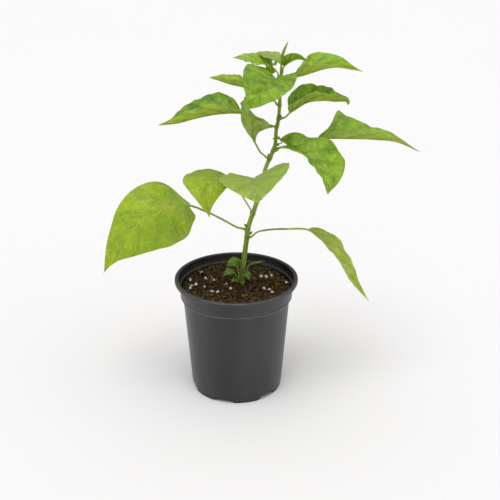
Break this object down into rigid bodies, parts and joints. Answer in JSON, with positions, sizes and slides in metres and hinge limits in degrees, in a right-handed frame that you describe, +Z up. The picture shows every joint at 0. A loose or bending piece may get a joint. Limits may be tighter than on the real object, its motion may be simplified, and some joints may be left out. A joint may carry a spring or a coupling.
{
  "type": "potted chilli pepper plant",
  "caption": "Potted chilli pepper plant: a slender zigzag green stem with long-stalked pointed leaves standing in dark potting soil in a round black nursery pot with a rolled rim.",
  "frame": {"origin": "centre of the pot's underside, on the surface it stands on", "axes": "+Z up along the pot's axis; -Y is the front, and +X is to the right seen from the front"},
  "size_m": [0.2974, 0.1461, 0.3451],
  "materials": {
    "pot_plastic": "satin",
    "potting_soil": "rough",
    "stem_green": "satin",
    "leaf_green": "satin",
    "young_leaf_green": "satin",
    "bud_green": "satin"
  },
  "bodies": {
    "root": {"pot": "pot_plastic", "soil": "potting_soil", "stem": "stem_green", "leaf_01_right_low": "leaf_green", "leaf_02_left_low": "leaf_green", "leaf_03_front_left": "leaf_green", "leaf_04_front": "leaf_green", "leaf_05_left_mid": "leaf_green", "leaf_06_rear_left": "leaf_green", "leaf_07_right_far": "leaf_green", "leaf_08_front_right": "leaf_green", "leaf_09_right_mid": "leaf_green", "leaf_10_front_top": "leaf_green", "leaf_11_left_upper": "leaf_green", "leaf_12_left_top": "leaf_green", "leaf_13_rear_top": "leaf_green", "leaf_14_right_top": "leaf_green", "leaf_15_young_right": "leaf_green", "leaf_16_youngest": "leaf_green", "leaf_17_axil": "leaf_green", "shoot_leaf_1": "young_leaf_green", "shoot_leaf_2": "young_leaf_green", "shoot_leaf_3": "young_leaf_green", "shoot_leaf_4": "young_leaf_green", "shoot_leaf_5": "young_leaf_green", "shoot_leaf_6": "young_leaf_green", "axil_bud_1": "bud_green", "axil_bud_2": "bud_green", "axil_bud_3": "bud_green", "axil_bud_4": "bud_green", "axil_bud_5": "bud_green", "axil_bud_6": "bud_green", "axil_bud_7": "bud_green"}
  },
  "joints": []
}
